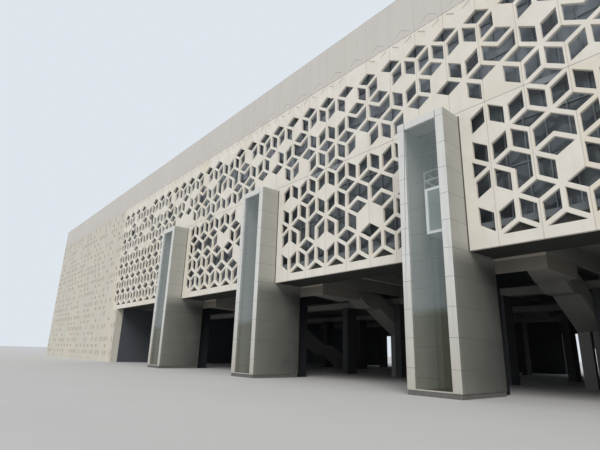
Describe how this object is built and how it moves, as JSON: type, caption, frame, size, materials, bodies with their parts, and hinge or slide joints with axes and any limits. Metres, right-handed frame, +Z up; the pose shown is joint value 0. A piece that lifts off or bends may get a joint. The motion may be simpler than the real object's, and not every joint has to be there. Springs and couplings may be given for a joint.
{
  "type": "railway station building, scale model at 1:10",
  "caption": "Long station building bridging its platforms, with a cast screen of cube-pattern openings, solid ends and glass-fronted lift towers.",
  "frame": {"origin": "on the ground, under the middle of the building's overall box", "axes": "+X along the front, seen from outside, to the right; +Y from the front to the rear; +Z up; the lift towers stand out towards -Y"},
  "size_m": [17.28, 5.952, 3],
  "materials": {
    "cream_concrete": "cream precast concrete, fine matt grain",
    "parapet_concrete": "smooth pale precast concrete",
    "deck_concrete": "grey cast concrete",
    "roof_membrane": "grey roofing membrane",
    "dark_glass": "dark tinted glazing",
    "tower_frame_metal": "near-white satin paint on metal panels",
    "tower_cladding": "satin metal cladding panels",
    "plinth_stone": "honed grey stone",
    "tower_glass": "clear grey-green glazing",
    "guide_steel": "drawn steel",
    "car_frame": "white paint",
    "car_glass": "clear glazing"
  },
  "bodies": {
    "building": {"concourse_floor": "deck_concrete", "concourse_front_floor": "deck_concrete", "cross_beams": "deck_concrete", "cross_heads": "deck_concrete", "cross_walls": "deck_concrete", "deck_girders": "deck_concrete", "end_front_walls": "cream_concrete", "end_parapets": "parapet_concrete", "end_rear_walls": "cream_concrete", "end_walls": "cream_concrete", "front_edge_beams": "deck_concrete", "guide_rails": "guide_steel", "head_columns": "deck_concrete", "inner_walls": "deck_concrete", "long_parapets": "parapet_concrete", "lower_front_glazing": "dark_glass", "lower_screen_east_bay": "cream_concrete", "lower_screen_east_wing": "cream_concrete", "lower_screen_west_bay": "cream_concrete", "lower_screen_west_wing": "cream_concrete", "platform_columns": "deck_concrete", "platform_stairs": "deck_concrete", "portal_lintels": "deck_concrete", "rear_base_piers": "deck_concrete", "rear_edge_beam": "deck_concrete", "rear_glazing": "dark_glass", "rear_screen": "cream_concrete", "roof_slab": "roof_membrane", "screen_head_panels": "cream_concrete", "stair_balustrades": "deck_concrete", "stair_piers": "deck_concrete", "tower_back_walls": "tower_cladding", "tower_caps": "tower_cladding", "tower_front_frames": "tower_frame_metal", "tower_glazing": "tower_glass", "tower_plinths": "plinth_stone", "tower_side_walls": "tower_cladding", "upper_floor": "deck_concrete", "upper_front_glazing": "dark_glass", "upper_screen_east": "cream_concrete", "upper_screen_middle": "cream_concrete", "upper_screen_west": "cream_concrete"},
    "lift_car": {"lift_car_frame": "car_frame", "lift_car_glass": "car_glass", "lift_car_rail": "guide_steel"}
  },
  "joints": [
    {"name": "lift_travel", "type": "slide", "parent": "building", "child": "lift_car", "axis": [0, 0, 1], "range_m": [-0.967, 0]}
  ]
}
